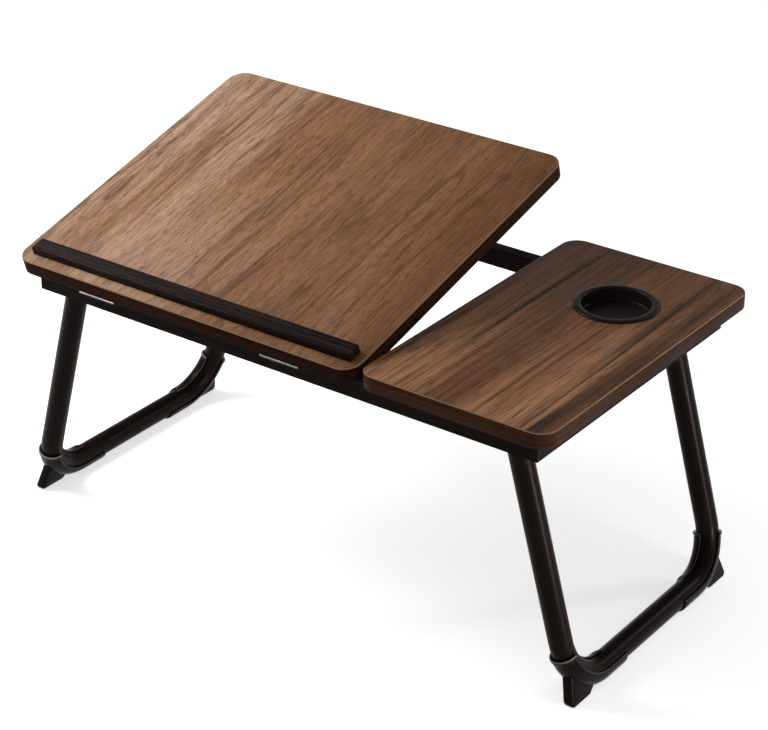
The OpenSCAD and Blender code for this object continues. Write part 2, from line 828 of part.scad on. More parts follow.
// A solid U of the given radius whose uprights rise past the pivot
module u_solid(r, rise) {
    y_rod([0, 0, -leg_len], r, 2 * (leg_y - bend_r));
    for (s = [0, 1]) mirror([0, s, 0]) {
        at_bend() rotate_extrude(angle = 90) translate([bend_r, 0]) circle(r);
        z_rod([0, leg_y, bend_r - leg_len], r, leg_len - bend_r + rise);
    }
}

// The head of an upright: cut flat and bevelled so that it turns inside the bracket
module head_shape(len) {
    w = 2 * tube_r;
    rotate([90, 0, 0]) linear_extrude(4 * leg_y, center = true)
        polygon([[-w, -len], [w, -len], [w, 0], [tube_r, 0], [head_flat, head_rise],
            [-head_flat, head_rise], [-tube_r, 0], [-w, 0]]);
}

module leg_tube(side) {
    color(black_steel) standing(side) difference() {
        intersection() {
            u_solid(tube_r, tube_r);
            head_shape(2 * leg_len);
        }
        u_solid(tube_r - tube_wall, 2 * tube_r);
        pin_holes();
    }
}

module leg_caps(side) {
    color(black_plastic) standing(side) difference() {
        intersection() {
            for (end = [-1, 1])
                z_rod([0, end * leg_y, -cap_len], tube_r - tube_wall - fixed_fit, 2 * cap_len);
            head_shape(2 * cap_len);
        }
        pin_holes();
    }
}

// Sweeps a section along the bend, from one angle to another, and on along the bottom tube
module along_bend(from, to) {
    at_bend() rotate([0, 0, from]) rotate_extrude(angle = to - from) translate([bend_r, 0]) children();
}

module along_bottom(run) {
    at_bend() rotate([0, 0, 90]) rotate([90, 0, 0]) translate([0, 0, -run]) linear_extrude(run)
        translate([bend_r, 0]) children();
}

// A section round the tube, open towards the inside of the bend and the right
module clip_section(r_in, r_out, opening) {
    reach = 3 * tube_r;
    side = reach * tan(opening / 2);
    difference() {
        circle(r_out);
        circle(r_in);
        rotate(225) polygon([[0, 0], [reach, -side], [reach, side]]);
    }
}

// The fin below the bend, left long at the floor
module foot_fin() {
    fin_top = [leg_y + fin_shoulder, fin_rise - leg_len];
    fin_low = -fin_depth;
    toe = leg_y + fin_shoulder + (fin_top.y - fin_low) * tan(fin_lean);
    heel = leg_y - fin_heel;
    core = [leg_y - bend_r * (1 - cos(45)), bend_r * (1 - sin(45)) - leg_len];
    rotate([90, 0, 90]) linear_extrude(fin_t, center = true)
        polygon([fin_top, [toe, fin_low], [heel, fin_low], [heel - foot_r, -leg_len - tube_r / 2], core]);
}

// The slant at the clip's end: square across the right side, back to the lip's run on the inner side
module clip_slant() {
    c = 4 * foot_r;
    mid = (foot_run + lip_run) / 2;
    lean = atan2((foot_run - lip_run) / sqrt(2), tube_r);
    at_bend() rotate([0, 0, 90]) rotate([90, 0, 0]) translate([bend_r, 0, -mid]) rotate([0, 0, -45])
        rotate([0, lean, 0]) translate([-c, -c, -c]) cube([2 * c, 2 * c, c]);
}

// A moulded foot: a clip along the bend and the bottom tube, with a fin cut level with the floor.
// The rim and the fin are rooted half way into the clip's wall.
module foot(side, end) {
    root_r = foot_r - foot_wall / 2;
    rim_open = foot_open + rim_sweep;
    color(black_plastic) difference() {
        standing(side) mirror([0, end < 0 ? 1 : 0, 0]) {
            along_bend(foot_start, 90) clip_section(tube_r + foot_fit, foot_r, foot_open);
            difference() {
                along_bottom(foot_run) clip_section(tube_r + foot_fit, foot_r, foot_open);
                clip_slant();
            }
            along_bend(foot_start - foot_fit, foot_start + rim_sweep)
                clip_section(root_r, foot_r + rim_extra, rim_open);
            difference() {
                foot_fin();
                along_bend(0, 90) circle(root_r);
            }
        }
        placed() translate([left_x * 2, -top_d, -top_h]) cube([2 * top_w, 2 * top_d, top_h]);
    }
}

module left_leg_tube() {
    leg_tube(-1);
}

module left_leg_caps() {
    leg_caps(-1);
}

module left_foot_front() {
    foot(-1, -1);
}

module left_foot_rear() {
    foot(-1, 1);
}

module right_leg_tube() {
    leg_tube(1);
}

module right_leg_caps() {
    leg_caps(1);
}

module right_foot_front() {
    foot(1, -1);
}

module right_foot_rear() {
    foot(1, 1);
}

tilt_board();
tilt_edge_band();
stop_bar();
stop_bar_screws();
hinge_leaf_board_left();
hinge_leaf_board_right();
hinge_board_screws();
prop_clip_left();
prop_clip_right();
prop_clip_screws();
prop_wire();
side_board();
side_edge_band();
cup_holder();
front_rail();
rear_rail();
end_rail();
left_leg_board();
right_leg_board();
dowels();
side_board_screws();
bumpers();
support_board();
support_screws();
track_left();
track_right();
track_screws();
hinge_leaf_frame_left();
hinge_leaf_frame_right();
hinge_pin_left();
hinge_pin_right();
hinge_frame_screws();
bracket_left_front();
bracket_left_rear();
bracket_right_front();
bracket_right_rear();
bracket_screws();
pivot_pins_left();
pivot_pins_right();
left_leg_tube();
left_leg_caps();
left_foot_front();
left_foot_rear();
right_leg_tube();
right_leg_caps();
right_foot_front();
right_foot_rear();
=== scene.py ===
"""Folding table with a tilting board: boards, bar, cup holder, tubes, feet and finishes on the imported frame."""
import json
import math

import bpy
import numpy as np
from mathutils import Matrix


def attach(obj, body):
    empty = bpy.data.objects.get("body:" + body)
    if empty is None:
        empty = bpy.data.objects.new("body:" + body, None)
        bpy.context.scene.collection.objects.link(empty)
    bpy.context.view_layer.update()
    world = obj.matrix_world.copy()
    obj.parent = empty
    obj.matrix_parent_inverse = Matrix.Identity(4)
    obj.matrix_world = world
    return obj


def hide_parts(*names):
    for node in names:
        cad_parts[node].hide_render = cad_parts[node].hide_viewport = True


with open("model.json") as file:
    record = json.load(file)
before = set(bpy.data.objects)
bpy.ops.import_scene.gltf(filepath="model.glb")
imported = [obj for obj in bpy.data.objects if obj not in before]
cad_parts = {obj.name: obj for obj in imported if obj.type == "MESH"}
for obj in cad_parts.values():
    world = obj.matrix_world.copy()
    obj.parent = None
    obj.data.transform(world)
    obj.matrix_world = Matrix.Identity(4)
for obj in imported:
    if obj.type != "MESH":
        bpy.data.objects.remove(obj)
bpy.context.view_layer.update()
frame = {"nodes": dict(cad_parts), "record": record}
nodes = frame["nodes"]

# Sizes are in millimetres, measured from the middle of the boards on the floor
MM = 0.001
MID = np.array([-12.1, -1.995, 0.0])

# Boards: heights, outlines, edge band, the eased edge of their cores and the ring drawn inside their faces
TOP, UNDER = 288.0, 273.0
FRONT, BACK = -175.0, 175.0
LEFT, SEAM, SIDE, RIGHT = -300.0, 102.0, 102.8, 300.0
CORNER = 18.0
BAND = 1.0
EASE_IN, EASE_DOWN = 1.15, 0.12
FACE_RING = 16.0

# Hinges, and the cut that gives their knuckles room under the tilting board
TILT = math.radians(14.5)
HINGE_Y, HINGE_Z = -174.5, 272.0
HINGE_X = np.array([-199.0, 18.5])
ROOM_HALF, ROOM_HIGH, ROOM_DEEP = 24.0, 0.6, 2.6

# Stop bar and cup holder
BAR_LEFT, BAR_RIGHT = -286.5, 91.5
BAR_FRONT, BAR_BACK = FRONT + 12.5, FRONT + 29.0
BAR_HIGH, BAR_ROUND, BAR_LEAN = 8.0, 1.6, 0.7
CUP = np.array([215.5, 72.5])
CUP_BORE, CUP_SEAT, SEAT_DEEP = 34.4, 40.3, 0.4

# Legs: pivots, splay, line of the tube and its bevelled heads
PIVOT_X = {-1: -268.8, 1: 244.6}
PIVOT_Z = 238.5
SPLAY = math.radians(15.2)
LEG_Y, BEND, TUBE = 129.0, 48.0, 11.0
LEG = (PIVOT_Z - 13.2) / math.cos(SPLAY)
HEAD_RISE, HEAD_FLAT, HEAD_EDGE = 7.0, 7.48, 0.25

# Feet: clip with its turns round the bend, its steps along the run and its points on arc and lip; fin
CLIP_IN, CLIP_OUT = TUBE + 0.1, TUBE + 2.0
CLIP_TURN = np.radians([13.9, 14.1, 14.6, 16.6, 17.3, 17.8, 18.6, *np.linspace(22, 90, 22)])[:, None]
CLIP_STEP = np.array([0.35, 0.7, 0.93, 0.98, 1.0])[:, None]
CLIP_MIDDLE, CLIP_SLANT, CLIP_LONGEST = 18.5, 10.5, 29.0
CLIP_ARC, CLIP_LIP = 60, 7
CLIP_COLUMNS = 2 * (CLIP_ARC + CLIP_LIP)
LAST_TIP = CLIP_ARC + CLIP_LIP // 2
FIRST_TIP = LAST_TIP + CLIP_ARC + CLIP_LIP
# Rows of the clip's upper rim, and how strongly the rim and the lips carry a painted highlight
RIM_ROWS, RIM_HIGHLIGHT, LIP_HIGHLIGHT = 3, 1.0, 0.7
FIN_HALF, FIN_ROUND, SOLE = 5.0, 2.4, 13.66

# Prop: pivot along and below the board, arms, and the foot across
PROP_X, PROP_ALONG, PROP_DROP = -99.5, 150.0, 3.5
PROP_HALF, PROP_LONG, PROP_BEND, WIRE = 65.0, 150.0, 8.0, 2.5
PROP_FOOT_Z, PROP_FOOT_HALF = 263.4, 77.0

# The photograph's view: turn and rise of the camera, its lens in pixels of the picture's width, its place
CAMERA_TURN, CAMERA_RISE = math.radians(36.37), math.radians(27.55)
LENS_PIXELS, PICTURE_PIXELS, SENSOR = 2367.8, 768.0, 36.0
CAMERA_PLACE = np.array([1196.5, -1617.4, 1239.1])


def to_row(p):
    """Board-centred millimetres to the shared frame in metres: a shift and a scale."""
    return (p - MID) * MM


def tilted(p):
    """Turns points drawn flat about the hinge line by the propped angle, then to_row."""
    y, z = p[..., 1] - HINGE_Y, p[..., 2] - HINGE_Z
    c, s = math.cos(TILT), math.sin(TILT)
    return to_row(np.stack([p[..., 0], HINGE_Y + y * c - z * s, HINGE_Z + y * s + z * c], -1))


def standing(p, side):
    """Leg points drawn straight down from the pivot, leaned outward by the splay about Y, then to_row."""
    c, s = math.cos(SPLAY), side * math.sin(SPLAY)
    x = p[..., 0] * c - p[..., 2] * s
    z = p[..., 0] * s + p[..., 2] * c
    return to_row(np.stack([PIVOT_X[side] + x, p[..., 1], PIVOT_Z + z], -1))


def stack(x, y, z):
    """Three arrays that broadcast together as points on a grid."""
    return np.stack(np.broadcast_arrays(x, y, z), -1).astype(float)


def unit(v):
    """Vectors along the last axis, made one long."""
    return v / np.linalg.norm(v, axis=-1, keepdims=True)


def quarter(start, count):
    """Angles of a quarter turn from a start in degrees, evenly spaced, in radians."""
    return np.radians(np.linspace(start, start + 90, count))


def circle(count):
    """Angles once round, evenly spaced, without the last that repeats the first."""
    return np.linspace(0, 2 * np.pi, count + 1)[:-1]


def shell(grid, wrap_u=False, wrap_v=False, caps=False, strip=None):
    """Points and faces of a grid surface. Caps close its first and last row with a fan about their middles;
    a strip of paired columns closes them across a bent section, from its first tip to its last."""
    nu, nv = grid.shape[:2]
    points = grid.reshape(-1, 3)
    end = (nu - 1) * nv
    u = np.arange(nu if wrap_u else nu - 1)[:, None]
    v = np.arange(nv if wrap_v else nv - 1)[None, :]
    u1, v1 = (u + 1) % nu, (v + 1) % nv
    quads = np.stack([u * nv + v, u1 * nv + v, u1 * nv + v1, u * nv + v1], -1).reshape(-1, 4)
    fans = np.zeros((0, 3), int)
    if caps:
        k = np.arange(nv)
        k1 = (k + 1) % nv
        first = np.stack([np.full(nv, nu * nv), k, k1], -1)
        last = np.stack([np.full(nv, nu * nv + 1), end + k1, end + k], -1)
        fans = np.concatenate([first, last])
        points = np.concatenate([points, grid[[0, -1]].mean(1)])
    if strip is not None:
        a, b, tips = strip
        across = np.stack([a[:-1], a[1:], b[1:], b[:-1]], -1)
        point = np.array([[b[0], tips[0], a[0]], [a[-1], tips[1], b[-1]]])
        quads = np.concatenate([quads, across, across[:, ::-1] + end])
        fans = np.concatenate([fans, point, point[:, ::-1] + end])
    tris = np.concatenate([quads[:, [0, 1, 2]], quads[:, [0, 2, 3]], fans])
    a, b, c = (points[tris[:, i]] for i in range(3))
    if (a * np.cross(b, c)).sum() < 0:
        quads, fans = quads[:, ::-1], fans[:, ::-1]
    return points, quads, fans


def piece(name, shells, material, body, slot, *replaced, sharp=38, rim=None):
    """One mesh object from closed shells, smooth up to the sharp angle, riding on a body. The painted
    highlight, where given, marks how strongly its first points are painted pale as a highlight."""
    start = np.cumsum([0] + [len(s[0]) for s in shells])
    points = np.concatenate([s[0] for s in shells])
    faces = [f for s, k in zip(shells, start) for part in s[1:] for f in (part + k).tolist()]
    mesh = bpy.data.meshes.new(name)
    mesh.from_pydata(points.tolist(), [], faces)
    mesh.polygons.foreach_set("use_smooth", np.ones(len(faces), bool))
    mesh.set_sharp_from_angle(angle=math.radians(sharp))
    if rim is not None:
        wear_and_highlight = np.zeros(len(points))
        wear_and_highlight[:len(rim)] = rim
        mesh.attributes.new("rim", "FLOAT", "POINT").data.foreach_set("value", wear_and_highlight)
    mesh.materials.append(material)
    obj = bpy.data.objects.new(name, mesh)
    bpy.context.scene.collection.objects.link(obj)
    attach(obj, body)
    if replaced:
        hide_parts(*replaced)


# Finishes

def srgb(r, g, b):
    """A colour as seen, 0 to 255, as the linear colour that a shader takes."""
    c = np.array([r, g, b]) / 255.0
    lin = np.where(c <= 0.04045, c / 12.92, ((c + 0.055) / 1.055) ** 2.4)
    return (*lin.tolist(), 1.0)


def grey(level):
    """An even grey of the given linear level."""
    return (level, level, level, 1.0)


# White, a warm tint of reflections that keeps dark pieces brown, and a knot too far away to show
WHITE = grey(1.0)
WARM = (1.0, 0.8, 0.72, 1.0)
NO_KNOT = (9.0, 9.0, 9.0)

# Where the tilting board has its knot, and the height of its propped face square to it, both in metres
KNOT = (-0.268, -0.050, 0.320)
RAISED = float(tilted(np.array([0.0, 0.0, TOP])) @ (0.0, -math.sin(TILT), math.cos(TILT)))

# Metres below a board's face between which its band's painted highlight fades in
RIM_LOW, RIM_HIGH = 0.0009, 0.0004

# Metres above the hinge line over which a knuckle turns from painted shade to painted highlight
KNUCKLE_FADE = 0.0004


class Nodes:
    """A short hand for adding nodes to one tree."""

    def __init__(self, tree):
        self.tree = tree

    def set(self, socket, value):
        """Links a socket to another one, or gives it a constant."""
        if isinstance(value, bpy.types.NodeSocket):
            self.tree.links.new(value, socket)
        else:
            socket.default_value = value

    def add(self, kind, inputs=None, **settings):
        """A new node with its settings and inputs."""
        node = self.tree.nodes.new(kind)
        for key, value in settings.items():
            setattr(node, key, value)
        for key, value in (inputs or {}).items():
            self.set(node.inputs[key], value)
        return node

    def math(self, operation, a, b):
        """Two values joined by an operation."""
        return self.add("ShaderNodeMath", {0: a, 1: b}, operation=operation).outputs[0]

    def spread(self, value, low, high, out_low=0.0, out_high=1.0):
        """A value carried smoothly from one range to another, held at the ends."""
        return self.add("ShaderNodeMapRange", {"Value": value, 1: low, 2: high, 3: out_low, 4: out_high},
                        interpolation_type="SMOOTHSTEP").outputs[0]

    def noise(self, vector, scale, detail=2.0, rough=0.5):
        """The outputs of a noise."""
        return self.add("ShaderNodeTexNoise", {"Vector": vector, "Scale": scale, "Detail": detail,
                                               "Roughness": rough}).outputs

    def vector(self, operation, a, b):
        """Two vectors joined by an operation: the node's outputs."""
        return self.add("ShaderNodeVectorMath", {0: a, 1: b}, operation=operation).outputs

    def times(self, vector, by):
        """A vector multiplied part by part."""
        return self.vector("MULTIPLY", vector, by)[0]

    def plus(self, vector, by):
        """The sum of two vectors."""
        return self.vector("ADD", vector, by)[0]

    def length(self, vector):
        """How long a vector is."""
        return self.add("ShaderNodeVectorMath", {0: vector}, operation="LENGTH").outputs["Value"]

    def height(self, vector):
        """The Z of a vector."""
        return self.add("ShaderNodeSeparateXYZ", {"Vector": vector}).outputs["Z"]

    def mix(self, factor, a, b):
        """A colour between two others. Sockets 6 and 7 of the node are its colours."""
        return self.add("ShaderNodeMix", {"Factor": factor, 6: a, 7: b}, data_type="RGBA").outputs[2]


def group(name, inputs, outputs):
    """An empty shader node group with named sockets, its helper and its two ends."""
    tree = bpy.data.node_groups.new(name, "ShaderNodeTree")
    for key, kind, value in inputs:
        socket = tree.interface.new_socket(key, in_out="INPUT", socket_type=kind)
        if value is not None:
            socket.default_value = value
    for key in outputs:
        tree.interface.new_socket(key, in_out="OUTPUT", socket_type="NodeSocketFloat")
    n = Nodes(tree)
    return tree, n, n.add("NodeGroupInput").outputs, n.add("NodeGroupOutput").inputs


def grain_group():
    """Wood figure: broad tone, dark streaks, growth lines as level lines of a warped stretched noise that
    close round the eye of a knot, fine fibre and pores."""
    inputs = [("Vector", "NodeSocketVector", None), ("Stretch", "NodeSocketVector", (60.0, 2.4, 20.0)),
              ("Lines", "NodeSocketFloat", 5.0), ("Width", "NodeSocketFloat", 0.15),
              ("Knot", "NodeSocketVector", NO_KNOT)]
    tree, n, given, made = group("wood_figure", inputs, ("Tone", "Streak", "Line", "Fibre", "Pore", "Eye"))
    away = n.plus(given["Vector"], n.times(given["Knot"], (-1.0, -1.0, -1.0)))
    eye = n.spread(n.length(n.times(away, (95.0, 26.0, 4.0))), 0.0, 1.9, 1.0, 0.0)

    straight = n.times(given["Vector"], given["Stretch"])
    warp = n.noise(n.times(straight, (0.3, 0.5, 0.3)), 1.0, 2.0)["Color"]
    warp = n.times(n.plus(warp, (-0.5, -0.5, -0.5)), (1.9, 0.3, 1.9))
    wavy = n.plus(straight, warp)
    tone = n.noise(n.times(wavy, (0.22, 0.6, 0.22)), 1.0, 3.0)["Fac"]
    streak = n.noise(n.times(wavy, (0.75, 0.34, 0.75)), 1.0, 4.0, 0.62)["Fac"]

    figure = n.math("ADD", n.noise(wavy, 0.55, 2.5, 0.55)["Fac"], n.math("MULTIPLY", eye, 0.3))
    level = n.math("PINGPONG", n.math("MULTIPLY", figure, given["Lines"]), 0.5)
    line = n.spread(level, 0.0, given["Width"], 1.0, 0.0)
    patch = n.noise(n.times(straight, (0.5, 1.4, 0.5)), 1.0, 2.0)["Fac"]
    line = n.math("MULTIPLY", line, n.math("MAXIMUM", n.spread(patch, 0.38, 0.62, 0.1, 1.0), eye))

    long = n.noise(n.times(wavy, (6.0, 3.6, 6.0)), 1.0, 5.0, 0.72)["Fac"]
    short = n.noise(n.times(wavy, (12.0, 22.0, 12.0)), 1.0, 2.0, 0.6)["Fac"]
    fibre = n.math("ADD", n.math("MULTIPLY", long, 0.6), n.math("MULTIPLY", short, 0.4))
    pore = n.noise(n.times(wavy, (13.0, 30.0, 13.0)), 1.0, 1.0)["Fac"]
    for key, value in (("Tone", n.spread(tone, 0.32, 0.68)), ("Streak", n.spread(streak, 0.5, 0.68)),
                       ("Line", line), ("Fibre", n.spread(fibre, 0.4, 0.62)),
                       ("Pore", n.spread(pore, 0.6, 0.67)), ("Eye", n.spread(eye, 0.55, 1.0))):
        n.set(made[key], value)
    return tree


def handling_group():
    """Signs of handling: soft smudges from a large noise and a fine tooth from a small one."""
    inputs = [("Vector", "NodeSocketVector", None), ("Tooth Scale", "NodeSocketFloat", 900.0)]
    tree, n, given, made = group("handling", inputs, ("Smudge", "Tooth"))
    smudge = n.noise(given["Vector"], 14.0, 3.0)["Fac"]
    n.set(made["Smudge"], n.spread(smudge, 0.35, 0.7))
    n.set(made["Tooth"], n.noise(given["Vector"], given["Tooth Scale"], 2.0)["Fac"])
    return tree


FIGURE = grain_group()
HANDLING = handling_group()


class Finish(Nodes):
    """A new material with its shader and its Object coordinates."""

    def __init__(self, name, metallic=0.0, specular=0.5, tint=WHITE):
        self.material = bpy.data.materials.new(name)
        self.material.use_nodes = True
        super().__init__(self.material.node_tree)
        self.shader = self.tree.nodes["Principled BSDF"]
        self.shader.inputs["Metallic"].default_value = metallic
        self.shader.inputs["Specular IOR Level"].default_value = specular
        self.shader.inputs["Specular Tint"].default_value = tint
        self.where = self.add("ShaderNodeTexCoord").outputs["Object"]

    def handling(self, tooth=900.0):
        """The smudges, and the tooth at its scale."""
        return self.add("ShaderNodeGroup", {"Vector": self.where, "Tooth Scale": tooth},
                        node_tree=HANDLING).outputs

    def wire_up(self, colour, rough, height, depth):
        """Joins colour, roughness and a bump of the given depth in metres to the shader."""
        bump = self.add("ShaderNodeBump", {"Height": height, "Strength": 0.6, "Distance": depth})
        self.set(self.shader.inputs["Base Color"], colour)
        self.set(self.shader.inputs["Roughness"], rough)
        self.set(self.shader.inputs["Normal"], bump.outputs[0])
        return self.material


def wood_finish(name, stretch, lines, pale, mid, dark, vein, rough, specular=0.2, tint=WHITE,
                tone_share=0.7, streak_share=0.5, line_share=0.6, fibre_share=0.5, eye_share=0.4, width=0.15,
                painted_light_slope=(0.0, 0.0, 0.0), level=0.5, knot=NO_KNOT, turn=0.0, rim=None, rim_height=0.0):
    """Laminate, foil or raw wood: three tones, then dark streaks, growth lines, fibre and pores along the
    stretched axis. The tone lies about a level, with a painted light slope over the piece: paler painted light
    towards one side, darker painted shade towards the other. The turn lays the figure along a piece that is
    propped. A painted highlight colour is laid pale along a band's upper edge, at the rim's height."""
    n = Finish(name, specular=specular, tint=tint)
    smudge = n.handling()["Smudge"]
    along = n.add("ShaderNodeMapping", {"Vector": n.where, "Rotation": (turn, 0.0, 0.0)}).outputs[0]
    figure = n.add("ShaderNodeGroup", {"Vector": along, "Stretch": stretch, "Lines": lines, "Width": width,
                                       "Knot": knot}, node_tree=FIGURE).outputs
    # Painted light and shade: the tone is raised where light falls and lowered where shade falls, along the slope
    painted_light_drift = n.math("ADD", n.vector("DOT_PRODUCT", n.where, painted_light_slope)["Value"], level - tone_share / 2)
    tone = n.add("ShaderNodeValToRGB",
                 {"Fac": n.math("ADD", n.math("MULTIPLY", figure["Tone"], tone_share), painted_light_drift)})
    tone.color_ramp.elements[0].color = dark
    tone.color_ramp.elements[1].color = pale
    tone.color_ramp.elements.new(0.5).color = mid
    colour = tone.outputs[0]
    for key, share in (("Streak", streak_share), ("Line", line_share), ("Fibre", fibre_share),
                       ("Pore", fibre_share), ("Eye", eye_share)):
        colour = n.mix(n.math("MULTIPLY", figure[key], share), colour, vein)
    # Painted highlight: a pale line along the band's rounded upper edge, where light catches it
    if rim:
        wear_and_highlight = n.spread(n.height(along), rim_height - RIM_LOW, rim_height - RIM_HIGH)
        colour = n.mix(wear_and_highlight, colour, rim)
    shade = n.spread(smudge, 0.0, 1.0, rough - 0.04, rough + 0.08)
    relief = n.math("SUBTRACT", n.math("MULTIPLY", figure["Fibre"], -0.4), figure["Pore"])
    return n.wire_up(colour, shade, relief, depth=0.0002)


def moulded_finish(name, colour, wear_and_highlight, rough, tooth, depth, specular, rim=None):
    """Moulded plastic, rubber or paint: two near tones by smudges, with a fine tooth in the surface and,
    where a painted highlight colour is given, pale painted highlights on the marked rims."""
    n = Finish(name, specular=specular, tint=WARM)
    touch = n.handling(tooth)
    mixed = n.mix(touch["Smudge"], colour, wear_and_highlight)
    # Painted highlight on the rims marked in the mesh, broken up by the smudges
    if rim:
        mark = n.add("ShaderNodeAttribute", attribute_name="rim").outputs["Fac"]
        share = n.math("MULTIPLY", n.spread(mark, 0.6, 0.95), n.spread(touch["Smudge"], 0.0, 0.8, 0.35, 1.0))
        mixed = n.mix(share, mixed, rim)
    shade = n.spread(touch["Smudge"], 0.0, 1.0, rough, rough + 0.09)
    return n.wire_up(mixed, shade, touch["Tooth"], depth)


def hinge_finish(name, brown, bright, duller):
    """Steel painted dark as shade on the lower half of the knuckles and pale as a highlight on the upper
    half, by their height over the hinge line.
    """
    n = Finish(name, metallic=1.0)
    touch = n.handling()
    # Painted highlight above the hinge line, painted shade below it
    wear_and_highlight = n.spread(n.height(n.where), HINGE_Z * MM, HINGE_Z * MM + KNUCKLE_FADE)
    colour = n.mix(wear_and_highlight, brown, n.mix(touch["Smudge"], bright, duller))
    shade = n.spread(touch["Smudge"], 0.0, 1.0, 0.28, 0.4)
    return n.wire_up(colour, shade, touch["Tooth"], depth=0.00002)


def metal_finish(name, colour, wear_and_highlight, rough, stretch):
    """Plated steel: fine scratches along one axis over two near tones."""
    n = Finish(name, metallic=1.0)
    scratch = n.noise(n.times(n.where, stretch), 1.0, 3.0)["Fac"]
    mixed = n.mix(n.spread(scratch, 0.3, 0.7), colour, wear_and_highlight)
    shade = n.spread(scratch, 0.3, 0.7, rough, rough + 0.18)
    return n.wire_up(mixed, shade, scratch, depth=0.00005)


# Tilting board: painted light paler to the left and front, painted shade darker to the right and back
WALNUT = wood_finish(
    "walnut_laminate", stretch=(62.0, 2.6, 14.0), lines=5.0, rough=0.4, specular=0.15,
    pale=srgb(204, 166, 139), mid=srgb(163, 118, 86), dark=srgb(130, 87, 56), vein=srgb(58, 38, 26),
    tone_share=0.45, streak_share=0.24, line_share=0.5, fibre_share=0.44,
    painted_light_slope=(-1.9, -0.3, 0.0), level=0.29, knot=KNOT)
# Same laminate with its own streakier figure; its darker tones and darker back are painted shade
SIDE_WALNUT = wood_finish(
    "walnut_laminate_painted_shade", stretch=(58.0, 1.2, 14.0), lines=4.0, rough=0.42, specular=0.12,
    pale=srgb(206, 152, 109), mid=srgb(133, 87, 56), dark=srgb(92, 57, 35), vein=srgb(26, 15, 10),
    line_share=0.9, fibre_share=0.54, width=0.13, painted_light_slope=(0.0, -1.3, 0.0), level=0.48)
EDGE_LOOK = dict(stretch=(6.0, 6.0, 260.0), lines=2.0, vein=srgb(20, 12, 9), rough=0.42,
                 line_share=0.3, streak_share=0.4, tint=WARM)
# Side board's band, with a painted highlight along its upper edge
EDGE = wood_finish(
    "walnut_edge_band", pale=srgb(86, 55, 35), mid=srgb(63, 40, 26), dark=srgb(45, 28, 19),
    specular=0.03, rim=srgb(150, 112, 84), rim_height=TOP * MM, **EDGE_LOOK)
# Propped board's band: the edge band with painted shade in darker tones; its pale rim is a painted highlight
SHADED_TILT_EDGE = wood_finish(
    "propped_edge_band_painted_shade", pale=srgb(66, 41, 27), mid=srgb(48, 29, 19), dark=srgb(36, 21, 14),
    specular=0.006, turn=-TILT, rim=srgb(150, 114, 88), rim_height=RAISED, **EDGE_LOOK)
FOIL = wood_finish(
    "dark_rail_foil", stretch=(2.6, 90.0, 90.0), lines=4.0, rough=0.48, specular=0.03, tint=WARM,
    pale=srgb(38, 25, 20), mid=srgb(30, 19, 15), dark=srgb(24, 15, 12), vein=srgb(12, 7, 6), line_share=0.4)
BAR = wood_finish(
    "black_bar_foil", stretch=(3.0, 190.0, 150.0), lines=4.0, rough=0.3, specular=0.06, tint=WARM,
    pale=srgb(84, 66, 57), mid=srgb(38, 29, 25), dark=srgb(17, 12, 11), vein=srgb(4, 3, 3),
    line_share=0.7, fibre_share=0.72)
PLY = wood_finish(
    "raw_plywood", stretch=(70.0, 3.0, 70.0), lines=4.0, rough=0.6,
    pale=srgb(214, 184, 142), mid=srgb(198, 166, 124), dark=srgb(176, 144, 106), vein=srgb(132, 98, 64),
    line_share=0.4, streak_share=0.3)
PAINT = moulded_finish(
    "black_leg_paint", colour=srgb(15, 9, 8), wear_and_highlight=srgb(22, 14, 12),
    rough=0.3, tooth=500.0, depth=0.00001, specular=0.05)
# Clip and fin plastic, with painted highlights on the clips' rims and lips
PLASTIC = moulded_finish(
    "black_moulded_plastic", colour=srgb(14, 9, 8), wear_and_highlight=srgb(20, 14, 12),
    rough=0.24, tooth=1600.0, depth=0.00005, specular=0.05, rim=srgb(156, 146, 138))
CUP_PLASTIC = moulded_finish(
    "black_cup_plastic", colour=srgb(19, 15, 13), wear_and_highlight=srgb(26, 21, 19),
    rough=0.3, tooth=1900.0, depth=0.00005, specular=0.14)
RUBBER = moulded_finish(
    "grey_black_rubber", colour=srgb(34, 33, 32), wear_and_highlight=srgb(46, 44, 43),
    rough=0.75, tooth=1200.0, depth=0.0001, specular=0.2)
ZINC = metal_finish(
    "zinc_plated_steel", colour=srgb(158, 155, 151), wear_and_highlight=srgb(124, 121, 118),
    rough=0.32, stretch=(30.0, 900.0, 900.0))
# Hinge knuckles: painted shade below, painted highlight above, smudged duller in places
HINGE = hinge_finish(
    "hinge_steel", brown=srgb(40, 31, 27), bright=srgb(168, 156, 148), duller=srgb(150, 139, 132))


# Boards

def board_edge(x0, x1, step=4.0, arc=14):
    """A board's outline as points and outward normals: corner arcs joined by evenly spaced straight runs."""
    centres = np.array([[x1 - CORNER, FRONT + CORNER], [x1 - CORNER, BACK - CORNER],
                        [x0 + CORNER, BACK - CORNER], [x0 + CORNER, FRONT + CORNER]])
    points, normals = [], []
    for k in range(4):
        a = quarter(90 * k - 90, arc)
        n = np.stack([np.cos(a), np.sin(a)], -1)
        bend = centres[k] + CORNER * n
        end = centres[(k + 1) % 4] + CORNER * n[-1]
        count = int(np.linalg.norm(end - bend[-1]) // step)
        t = np.linspace(0, 1, count + 2)[1:-1, None]
        points += [bend, bend[-1] + t * (end - bend[-1])]
        normals += [n, np.repeat(n[-1:], count, 0)]
    return np.concatenate(points), np.concatenate(normals)


def ring(edge, normal, inset, z):
    """The outline drawn in by the inset at height z, which may change along the outline."""
    p = edge - inset * normal
    return stack(p[:, 0], p[:, 1], z)


def knuckle_room(edge, normal):
    """One along the front edge where a hinge's knuckles lie, else nought."""
    near = np.abs(edge[:, :1] - HINGE_X).min(1) < ROOM_HALF
    return (near & (normal[:, 1] < -0.99)).astype(float)


